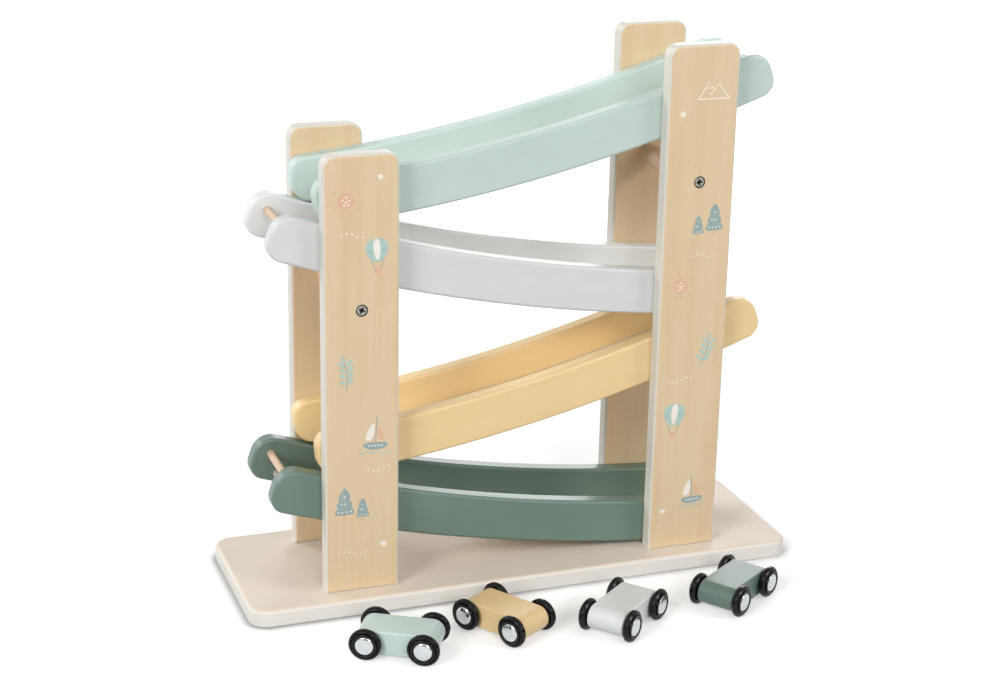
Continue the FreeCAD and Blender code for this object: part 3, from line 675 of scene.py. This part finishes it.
def spot_of_ink(x, z, radius, corners=20):
    """Outline of a round spot."""
    angles = [step * math.tau / corners for step in range(corners)]
    return [(x + radius * math.cos(angle), z + radius * math.sin(angle)) for angle in angles]


def line_of_ink(points, width):
    """Outline of a line of that width through the points."""
    sides = ([], [])
    for number, point in enumerate(points):
        before = Vector(points[max(number - 1, 0)])
        after = Vector(points[min(number + 1, len(points) - 1)])
        square = (after - before).normalized().orthogonal() * width / 2
        sides[0].append(tuple(Vector(point) + square))
        sides[1].append(tuple(Vector(point) - square))
    return sides[0] + sides[1][::-1]


def picture(name, layers):
    """Draw a picture, each layer of it one ink in an outline in millimetres, on a face that looks
    towards -y. Every layer is a thin closed slab that stands a little proud of the last."""
    vertices = []
    faces = []
    inks = []
    for number, (colour, outline) in enumerate(layers):
        doubled_area = sum(start[0] * end[1] - end[0] * start[1]
                           for start, end in zip(outline, outline[1:] + outline[:1]))
        if doubled_area < 0:
            outline = outline[::-1]
        count = len(outline)
        front = len(vertices)
        back = front + count
        for depth in (-(INK_LIFT + number * INK_STEP), INK_ROOT):
            vertices += [(x * MM, depth * MM, z * MM) for x, z in outline]
        faces.append([front + step for step in range(count)])
        faces.append([back + step for step in reversed(range(count))])
        for step in range(count):
            following = (step + 1) % count
            faces.append([front + following, front + step, back + step, back + following])
        inks += [linear(colour)] * (count + 2)
    mesh = bpy.data.meshes.new(name)
    mesh.from_pydata(vertices, [], faces)
    colours = mesh.attributes.new("ink", "FLOAT_COLOR", "FACE")
    for number, colour in enumerate(inks):
        colours.data[number].color = colour
    return as_object(name, mesh)


rays = [[(reach * math.cos(angle), reach * math.sin(angle)) for reach in (5.9, 7.0, 8.1)]
        for angle in [step * math.tau / 10 for step in range(10)]]
freckles = [(-1.6, 0.6), (0.2, 1.7), (1.7, 0.2), (0.0, -0.5), (-0.9, -2.0), (1.1, -1.7)]
sun = picture("sun_picture", [
    (INK_BLUSH, spot_of_ink(0, 0, 4.3, 32)),
    *[(INK_BLUSH, softened(line_of_ink(ray, 1.0), 2)) for ray in rays],
    *[(INK_WHITE, spot_of_ink(x, z, 0.5)) for x, z in freckles]])

tiers = [(6.4, -5.6, 1.0), (5.2, -1.6, 4.4), (3.8, 2.2, 8.4)]
cones = [(-3.2, -4.2), (-1.1, -4.4), (1.1, -4.4), (3.2, -4.2), (-1.5, 0.0), (0.4, -0.2),
         (0.0, 3.8)]
fir_tree = picture("fir_tree_picture", [
    (INK_BLUSH, [(-0.8, -8.5), (0.8, -8.5), (0.8, -5), (-0.8, -5)]),
    *[(INK_GREY, softened([(-width, foot), (0, foot - 0.5), (width, foot), (0.9, top), (-0.9, top)],
                          2)) for width, foot, top in tiers],
    *[(INK_WHITE, spot_of_ink(x, z, 0.45)) for x, z in cones]])

balloon = picture("balloon_picture", [
    (INK_GREY, line_of_ink([(-3.6, -2.0), (-1.4, -8.0)], 0.4)),
    (INK_GREY, line_of_ink([(3.6, -2.0), (1.4, -8.0)], 0.4)),
    (INK_AQUA, softened([(-6.4, 2.0), (-6.2, 7.6), (0, 10.6), (6.2, 7.6), (6.4, 2.0),
                         (3.0, -3.4), (-3.0, -3.4)])),
    (INK_WHITE, softened([(-2.0, 3.0), (-1.9, 8.2), (0, 10.0), (1.9, 8.2), (2.0, 3.0),
                          (0.9, -2.4), (-0.9, -2.4)])),
    (INK_BLUSH, softened([(-2.2, -7.4), (2.2, -7.4), (1.6, -10.6), (-1.6, -10.6)], 2)),
    *[(INK_GREY, spot_of_ink(x, 2.6, 0.45)) for x in (-4.9, -3.5, 3.5, 4.9)]])

stem = [(-1.6, -9.5), (-1.0, -6.0), (-0.2, -2.5), (0.2, 1.0), (0.1, 4.5), (-0.4, 8.0)]
leaves = [[(x, z), (x + 2.2 * side, z + 0.3), (x + 5.2 * side, z + 3.6), (x + 1.6 * side, z + 3.0)]
          for x, z in stem[1:5] for side in (-1, 1)]
sprig = picture("sprig_picture", [
    (INK_GREY, line_of_ink(stem, 0.5)),
    *[(INK_AQUA, softened(leaf)) for leaf in leaves],
    (INK_AQUA, softened([(-0.4, 7.2), (1.1, 9.0), (-0.4, 11.6), (-1.9, 9.0)]))])

wave = [(x, -9.6 + 0.5 * math.sin(x * 1.15)) for x in range(-8, 9)]
boat = picture("boat_picture", [
    (INK_GREY, line_of_ink([(0, -4.5), (0, 8.6)], 0.5)),
    (INK_WHITE, softened([(-0.9, -3.2), (-0.9, 8.2), (-6.6, -3.2)], 2)),
    (INK_BLUSH, softened([(0.9, -3.2), (5.2, -3.2), (0.9, 5.4)], 2)),
    (INK_GREY, softened([(-7.4, -4.3), (7.4, -4.3), (4.8, -8.2), (-4.8, -8.2)], 2)),
    *[(INK_WHITE, spot_of_ink(x, -6.1, 0.45)) for x in (-3.2, -1.6, 0.0, 1.6, 3.2)],
    (INK_AQUA, line_of_ink(wave, 0.5))])

mountains = picture("mountains_picture", [
    (INK_WHITE, line_of_ink([(-9.0, -4.0), (-3.2, 5.4), (-0.4, 1.2)], 0.6)),
    (INK_WHITE, line_of_ink([(-2.6, -1.8), (2.6, 3.6), (9.0, -4.0)], 0.6)),
    (INK_WHITE, line_of_ink([(-9.4, -4.0), (9.4, -4.0)], 0.6)),
    (INK_WHITE, line_of_ink([(-5.0, 2.5), (-3.9, 1.5), (-3.1, 2.5), (-2.2, 1.5), (-1.4, 2.7)],
                            0.5))])

points = [(radius * math.sin(step * math.tau / 10), radius * math.cos(step * math.tau / 10))
          for step, radius in enumerate((4.0, 1.9) * 5)]
star = picture("star_picture", [(INK_WHITE, softened(points, 2))])
dot = picture("dot_picture", [(INK_WHITE, spot_of_ink(0, 0, 0.6, 16))])

# The tree prints a picture at each point of the carrier, at that point's own size and lean.
print_tree = bpy.data.node_groups.new("printed_pictures", "GeometryNodeTree")
input_socket(print_tree, "Places", "NodeSocketGeometry")
print_inputs = {"Picture": input_socket(print_tree, "Picture", "NodeSocketObject"),
                "Ink": input_socket(print_tree, "Ink", "NodeSocketMaterial")}
print_tree.interface.new_socket(name="Prints", in_out="OUTPUT", socket_type="NodeSocketGeometry")
given = add(print_tree, "NodeGroupInput").outputs
drawn = add(print_tree, "GeometryNodeObjectInfo", {"Object": given["Picture"]})
size = add(print_tree, "GeometryNodeInputNamedAttribute", {"Name": "size"}, data_type="FLOAT")
size = add(print_tree, "ShaderNodeCombineXYZ", {
    "X": size.outputs[0], "Y": 1.0, "Z": size.outputs[0]})
lean = add(print_tree, "GeometryNodeInputNamedAttribute", {"Name": "lean"}, data_type="FLOAT")
lean = add(print_tree, "ShaderNodeCombineXYZ", {"Y": lean.outputs[0]})
printed = add(print_tree, "GeometryNodeInstanceOnPoints", {
    "Points": given["Places"], "Instance": drawn.outputs["Geometry"],
    "Rotation": lean.outputs[0], "Scale": size.outputs[0]})
real = add(print_tree, "GeometryNodeRealizeInstances", {0: printed.outputs[0]})
inked = add(print_tree, "GeometryNodeSetMaterial", {
    "Geometry": real.outputs[0], "Material": given["Ink"]})
add(print_tree, "NodeGroupOutput", {0: inked.outputs[0]})


def print_pictures(name, drawing, places):
    """Print a picture at each place: the post's side, how far right of its middle and how far up
    from its foot, in millimetres, and the picture's size and its lean in degrees."""
    points = bpy.data.meshes.new(name)
    spots = []
    for side, across, up, _, _ in places:
        low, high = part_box(f"post_front_{side}")
        spots.append(((low.x + high.x) / 2 + across * MM, low.y, low.z + up * MM))
    points.from_pydata(spots, [], [])
    sizes = points.attributes.new("size", "FLOAT", "POINT")
    leans = points.attributes.new("lean", "FLOAT", "POINT")
    for number, (*_, size, lean) in enumerate(places):
        sizes.data[number].value = size
        leans.data[number].value = math.radians(lean)
    carrier = as_object(name + "_places", points)
    modifier = carrier.modifiers.new("prints", "NODES")
    modifier.node_group = print_tree
    modifier[print_inputs["Picture"]] = drawing
    modifier[print_inputs["Ink"]] = ink
    piece = evaluated(name, carrier)
    bpy.data.objects.remove(drawing)
    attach(piece, "tower")


print_pictures("printed_suns", sun, [("left", -10, 262, 1.3, 0), ("right", -10, 188, 1.25, 8)])
print_pictures("printed_fir_trees", fir_tree, [
    ("left", -12, 62, 1.3, 0), ("left", 0, 57, 0.9, 0),
    ("right", 12, 232, 1.25, 0), ("right", 0.5, 228, 0.85, 0)])
print_pictures("printed_balloons", balloon, [
    ("left", 10, 226, 1.15, -4), ("right", -10, 94, 1.2, 4)])
print_pictures("printed_sprigs", sprig, [
    ("left", -10, 150, 1.15, -10), ("right", 11, 141, 1.15, 12)])
print_pictures("printed_boats", boat, [("left", 9, 108, 1.3, 3), ("right", 6, 42, 1.25, -3)])
print_pictures("printed_mountains", mountains, [("right", 7, 317, 1.2, 0)])
print_pictures("printed_stars", star, [
    ("left", 12, 276, 0.6, 12), ("left", 14, 31, 0.75, -10),
    ("right", -14, 303, 0.7, 10), ("right", -15, 28, 0.6, 0)])

# Rows of dots: the post's side, how many, how far right of its middle the first one is, their
# spacing, how far up they are, and the height and pace of the wave in which they lie.
DOT_ROWS = (
    ("left", 5, -13, 3.4, 240, 1.6, 1.3),
    ("left", 5, 4, 3.4, 84, -1.3, 1.1),
    ("left", 6, -16, 3.6, 27, 1.4, 1.2),
    ("right", 5, -2, 3.4, 208, 1.4, 1.4),
    ("right", 6, -16, 3.4, 122, -1.5, 1.1),
)
print_pictures("printed_dots", dot, [
    (side, first + spacing * step, up + swing * math.sin(step * pace), 1.0, 0)
    for side, count, first, spacing, up, swing, pace in DOT_ROWS for step in range(count)])


# Car bodies
# Each car is one solid block of wood with round ends, sprayed in the colour of a track. All but the
# yellow one take the far rails' copy of the paint, with its painted light: lighter for the mint and
# white cars, darker for the green one.

for colour in TRACKS:
    car_paints = paints if colour == "yellow" else painted_light_paints
    dress(car_paints[colour], f"{colour}_car_body")


# Axles
# Eight drawn steel rods, two to a car. They turn in the blocks' bores and are pressed into the
# wheels at both ends.

STEEL_BRIGHT = "#C3C3C5"
STEEL_DULL = "#A6A6A9"

# Drawn steel: bright and cool, with a fine dull haze from the die, drawn 0.4 mm wide.
steel, tree, shader, spot = new_material("drawn_bright_steel")
metal, haze = grained(tree, spot, STEEL_BRIGHT, STEEL_DULL, (0.4, 0.4, 0.4), 0.35, 0.65, detail=2)
surface(tree, shader, metal, haze, smoothest=0.22, dullest=0.34, depth=0.01)
shader.inputs["Metallic"].default_value = 1.0
wheelsets = [(colour, end) for colour in TRACKS for end in ("front", "rear")]
for colour, end in wheelsets:
    dress(steel, f"{colour}_car_{end}_axle")


# Wheels
# Sixteen wheels of glossy black moulded plastic. Their shoulders are bevelled and softened, a
# groove and a raised ring surround the recess for the cap, and a boss behind keeps each wheel off
# the block.

# Radii, and depths outwards from the car's middle plane, in millimetres.
WHEEL_RADIUS = 10.4
WHEEL_SIDES = 96
WHEEL_HUB_FACE = 13.1
WHEEL_TYRE_BACK = 13.6
WHEEL_TYRE_FACE = 18.0
WHEEL_SHOULDER = 1.2
WHEEL_SHOULDER_ROUND = 0.6
WHEEL_RING_FACE = 19.0
WHEEL_RING_RADIUS = 7.9
WHEEL_RING_ROUND = 0.5
WHEEL_GROOVE_WIDTH = 0.8
WHEEL_GROOVE_FLOOR = 0.2
WHEEL_GROOVE_DEPTH = 0.5
WHEEL_GROOVE_ROUND = 0.1
WHEEL_BOSS_RADIUS = 3.2
WHEEL_BOSS_ROUND = 0.15
WHEEL_BORE_RADIUS = 1.53
CAP_BACK = 17.4
CAP_RADIUS = 6.1
CAP_CLEARANCE = 0.03
SHARP_ANGLE = math.radians(35)
BLACK_DEEP = "#0D0D0E"
BLACK_SOFT = "#121213"

# Moulded ABS: deep black with a high gloss, very slightly uneven as moulded faces are.
black, tree, shader, spot = new_material("glossy_black_abs")
moulded, flow = grained(tree, spot, BLACK_DEEP, BLACK_SOFT, (6, 6, 6), 0.35, 0.65, detail=2)
surface(tree, shader, moulded, flow, smoothest=0.09, dullest=0.15, depth=0.02)
shader.inputs["IOR"].default_value = 1.46
shader.inputs["Specular IOR Level"].default_value = 0.26


def rounded(corners, steps=6):
    """Round the corners of a closed outline. Each corner is a radius, a depth and its rounding."""
    points = []
    for number, (*corner, rounding) in enumerate(corners):
        corner = Vector(corner)
        if rounding == 0:
            points.append(corner)
            continue
        before = (Vector(corners[number - 1][:2]) - corner).normalized()
        after = (Vector(corners[(number + 1) % len(corners)][:2]) - corner).normalized()
        half = before.angle(after) / 2
        centre = corner + (before + after).normalized() * rounding / math.sin(half)
        start = corner + before * rounding / math.tan(half) - centre
        end = corner + after * rounding / math.tan(half) - centre
        sweep = start.angle_signed(end)
        for step in range(steps + 1):
            turned = Matrix.Rotation(-sweep * step / steps, 2) @ start
            points.append(centre + turned)
    return points


def lathe(name, outline, sides):
    """Turn an outline of radii and depths, in millimetres, about the y axis on the near side."""
    vertices = []
    rings = []
    for radius, depth in outline:
        start = len(vertices)
        count = sides if radius > 0 else 1
        for step in range(count):
            angle = step * math.tau / sides
            vertices.append((radius * math.cos(angle) * MM, -depth * MM,
                             radius * math.sin(angle) * MM))
        rings.append([start + step % count for step in range(sides + 1)])
    faces = []
    for ring, following in zip(rings, rings[1:] + rings[:1]):
        for step in range(sides):
            corners = [ring[step], ring[step + 1], following[step + 1], following[step]]
            unique = list(dict.fromkeys(corners))
            if len(unique) > 2:
                faces.append(unique)
    mesh = bpy.data.meshes.new(name)
    mesh.from_pydata(vertices, [], faces)
    mesh.validate()
    mesh.shade_smooth()
    mesh.set_sharp_from_angle(angle=SHARP_ANGLE)
    return mesh


# The tree takes a wheel or cap drawn for the near side, adds its like at the far side and sets
# the pair across the car's axle.
pair_tree = bpy.data.node_groups.new("pair_on_axle", "GeometryNodeTree")
input_socket(pair_tree, "Near side", "NodeSocketGeometry")
pair_inputs = {"Place": input_socket(pair_tree, "Place", "NodeSocketVector"),
               "Turn": input_socket(pair_tree, "Turn", "NodeSocketFloat"),
               "Finish": input_socket(pair_tree, "Finish", "NodeSocketMaterial")}
pair_tree.interface.new_socket(name="Pair", in_out="OUTPUT", socket_type="NodeSocketGeometry")
given = add(pair_tree, "NodeGroupInput").outputs
far_side = add(pair_tree, "GeometryNodeTransform", {
    "Geometry": given["Near side"], "Rotation": (0, 0, math.pi)})
pair = add(pair_tree, "GeometryNodeJoinGeometry")
for part in (given["Near side"], far_side.outputs[0]):
    pair_tree.links.new(part, pair.inputs[0])
heading = add(pair_tree, "ShaderNodeCombineXYZ", {"Z": given["Turn"]})
pair = add(pair_tree, "GeometryNodeTransform", {
    "Geometry": pair.outputs[0], "Translation": given["Place"], "Rotation": heading.outputs[0]})
real = add(pair_tree, "GeometryNodeRealizeInstances", {0: pair.outputs[0]})
finished = add(pair_tree, "GeometryNodeSetMaterial", {
    "Geometry": real.outputs[0], "Material": given["Finish"]})
add(pair_tree, "NodeGroupOutput", {0: finished.outputs[0]})


def pair_on_axle(name, form, finish, colour, end):
    """Set a pair of wheels or caps on one of a car's axles."""
    joint = next(joint for joint in frame["joints"]
                 if joint["name"] == f"{colour}_car_{end}_axle_turn")
    carrier = as_object(name + "_form", form)
    modifier = carrier.modifiers.new("pair", "NODES")
    modifier.node_group = pair_tree
    modifier[pair_inputs["Place"]] = joint["pos_m"]
    modifier[pair_inputs["Turn"]] = math.atan2(-joint["axis"][0], joint["axis"][1])
    modifier[pair_inputs["Finish"]] = finish
    piece = evaluated(name, carrier)
    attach(piece, f"{colour}_car_{end}_wheelset")
    return piece


# The wheel's outline, from the bore round the boss, the tyre, the groove and the ring to the cap.
groove_floor = WHEEL_TYRE_FACE - WHEEL_GROOVE_DEPTH
recess_radius = CAP_RADIUS + CAP_CLEARANCE
wheel_form = lathe("wheel", rounded([
    (WHEEL_BORE_RADIUS, WHEEL_HUB_FACE, 0),
    (WHEEL_BOSS_RADIUS, WHEEL_HUB_FACE, WHEEL_BOSS_ROUND),
    (WHEEL_BOSS_RADIUS, WHEEL_TYRE_BACK, 0),
    (WHEEL_RADIUS - WHEEL_SHOULDER, WHEEL_TYRE_BACK, WHEEL_SHOULDER_ROUND),
    (WHEEL_RADIUS, WHEEL_TYRE_BACK + WHEEL_SHOULDER, WHEEL_SHOULDER_ROUND),
    (WHEEL_RADIUS, WHEEL_TYRE_FACE - WHEEL_SHOULDER, WHEEL_SHOULDER_ROUND),
    (WHEEL_RADIUS - WHEEL_SHOULDER, WHEEL_TYRE_FACE, WHEEL_SHOULDER_ROUND),
    (WHEEL_RING_RADIUS + WHEEL_GROOVE_WIDTH, WHEEL_TYRE_FACE, WHEEL_GROOVE_ROUND),
    (WHEEL_RING_RADIUS + WHEEL_GROOVE_FLOOR, groove_floor, WHEEL_GROOVE_ROUND),
    (WHEEL_RING_RADIUS, groove_floor, WHEEL_GROOVE_ROUND / 2),
    (WHEEL_RING_RADIUS, WHEEL_RING_FACE, WHEEL_RING_ROUND),
    (recess_radius, WHEEL_RING_FACE, WHEEL_RING_ROUND),
    (recess_radius, CAP_BACK, 0),
    (WHEEL_BORE_RADIUS, CAP_BACK, 0)]), WHEEL_SIDES)
for colour, end in wheelsets:
    wheels = pair_on_axle(f"{colour}_car_{end}_wheels_moulded", wheel_form, black, colour, end)
    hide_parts(f"{colour}_car_{end}_wheels")


# Caps
# Sixteen small domes of pressed steel, chrome plated. Each is pushed over the end of its axle
# into the recess of the wheel.

CAP_SIDES = 96
CAP_RIM = 1.2
CAP_CROWN = 0.9
CAP_CROWN_STEPS = 24
CAP_CROWN_POWER = 3
CAP_EDGE_ROUND = 0.35
CAP_EDGE_BELOW_CROWN = 0.1
CAP_EDGE_WIDTH = 0.3
CAP_EDGE_ANGLES = (0.0, 0.4, 0.8, 1.1)
CAP_BORE_RADIUS = 1.53
CAP_SOCKET = 0.83
CHROME_BRIGHT = "#CDD2D4"
CHROME_HAZE = "#C4CACC"

# Chrome plate: a bright cool mirror, softened a little by handling.
chrome, tree, shader, spot = new_material("chrome_plated_steel")
mirror, haze = grained(tree, spot, CHROME_BRIGHT, CHROME_HAZE, (2.5, 2.5, 2.5), 0.35, 0.65,
                       detail=2)
surface(tree, shader, mirror, haze, smoothest=0.06, dullest=0.11, depth=0.004)
shader.inputs["Metallic"].default_value = 1.0

# The crown is flatter in the middle than a ball's, and steeper towards the edge.
crown = []
for step in reversed(range(CAP_CROWN_STEPS)):
    radius = CAP_RADIUS * step / CAP_CROWN_STEPS
    rise = CAP_CROWN * (1 - (step / CAP_CROWN_STEPS) ** CAP_CROWN_POWER)
    if radius < CAP_RADIUS - CAP_EDGE_WIDTH:
        crown.append((radius, CAP_BACK + CAP_RIM + rise))
edge_top = CAP_BACK + CAP_RIM - CAP_EDGE_BELOW_CROWN
edge = [(CAP_RADIUS - CAP_EDGE_ROUND * (1 - math.cos(angle)),
         edge_top - CAP_EDGE_ROUND * (1 - math.sin(angle)))
        for angle in CAP_EDGE_ANGLES]
cap_form = lathe("cap", [
    (0, CAP_BACK + CAP_SOCKET),
    (CAP_BORE_RADIUS, CAP_BACK + CAP_SOCKET),
    (CAP_BORE_RADIUS, CAP_BACK),
    (CAP_RADIUS, CAP_BACK),
    *edge, *crown], CAP_SIDES)
for colour, end in wheelsets:
    caps = pair_on_axle(f"{colour}_car_{end}_caps_domed", cap_form, chrome, colour, end)
    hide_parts(f"{colour}_car_{end}_caps")


# The view shows colours as they are.
bpy.context.scene.view_settings.view_transform = "Standard"
